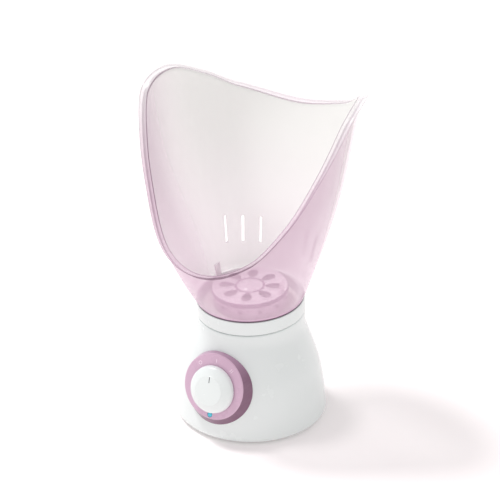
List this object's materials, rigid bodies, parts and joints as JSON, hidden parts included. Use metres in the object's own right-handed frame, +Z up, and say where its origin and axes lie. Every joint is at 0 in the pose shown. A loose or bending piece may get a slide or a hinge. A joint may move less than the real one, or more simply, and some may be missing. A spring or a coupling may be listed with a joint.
{
  "type": "facial steamer",
  "caption": "Tabletop facial steamer: round flared base with water tank and heater, angled front dial, aroma basket, and a lift-off scooped translucent face mask.",
  "frame": {"origin": "centre of the base at table height, under the middle of the whole object", "axes": "+Z up, -Y to the front where the dial faces, +X to the right seen from the back and to the viewer's right from the front"},
  "size_m": [0.1818, 0.1654, 0.2786],
  "materials": {
    "white_plastic": "smooth glossy cool white moulded plastic",
    "pink_bezel": "glossy mauve pink moulded plastic",
    "clear_pink": "translucent pink moulded plastic",
    "cream_plastic": "plain off-white moulded plastic",
    "grey_rubber": "soft grey rubber",
    "silicone": "mauve silicone seal",
    "aluminium": "cast and turned aluminium",
    "steel": "plated steel",
    "circuit_board": "green solder mask over glass laminate",
    "black_plastic": "black phenolic moulding",
    "teal_lens": "clear teal light pipe",
    "wire_brown": "brown wire sleeve",
    "wire_blue": "blue wire sleeve"
  },
  "bodies": {
    "root": {"base_housing": "white_plastic", "base_plate": "cream_plastic", "base_screw_1": "steel", "base_screw_2": "steel", "base_screw_3": "steel", "base_screw_4": "steel", "board_screw_left": "steel", "board_screw_right": "steel", "board_standoff_left": "cream_plastic", "board_standoff_right": "cream_plastic", "collar_ring": "white_plastic", "control_board": "circuit_board", "cord_clamp": "cream_plastic", "cord_clamp_screw_left": "steel", "cord_clamp_screw_right": "steel", "cord_gland": "grey_rubber", "dial_bezel": "pink_bezel", "foot_1": "grey_rubber", "foot_2": "grey_rubber", "foot_3": "grey_rubber", "foot_4": "grey_rubber", "heater_clamp": "steel", "heater_screw_1": "steel", "heater_screw_2": "steel", "heater_screw_3": "steel", "heating_element": "steel", "heating_plate": "aluminium", "led": "teal_lens", "led_lens": "teal_lens", "mask_gasket": "silicone", "steam_guide": "cream_plastic", "switch_body": "black_plastic", "switch_bushing": "steel", "switch_nut": "steel", "tank_seal": "silicone", "terminal_block": "cream_plastic", "thermal_fuse": "cream_plastic", "thermostat": "black_plastic", "water_tank": "white_plastic", "wire_heater": "wire_brown", "wire_live": "wire_brown", "wire_neutral": "wire_blue"},
    "knob": {"dial_knob": "white_plastic", "switch_shaft": "aluminium"},
    "mask": {"face_mask": "clear_pink"},
    "basket": {"aroma_basket": "clear_pink"},
    "lid": {"basket_lid": "clear_pink"}
  },
  "joints": [
    {"name": "knob_turn", "type": "hinge", "parent": "root", "child": "knob", "pos_m": [0, -0.0573, 0.0453], "axis": [0, -0.9659, 0.2588], "range_deg": [-38, 38]},
    {"name": "mask_lift", "type": "slide", "parent": "root", "child": "mask", "axis": [0, -0.0837, 0.9965], "range_m": [0, 0.08]},
    {"name": "basket_lift", "type": "slide", "parent": "root", "child": "basket", "axis": [0, -0.0837, 0.9965], "range_m": [0, 0.04]},
    {"name": "lid_lift", "type": "slide", "parent": "basket", "child": "lid", "axis": [0, -0.0837, 0.9965], "range_m": [0, 0.02]}
  ]
}
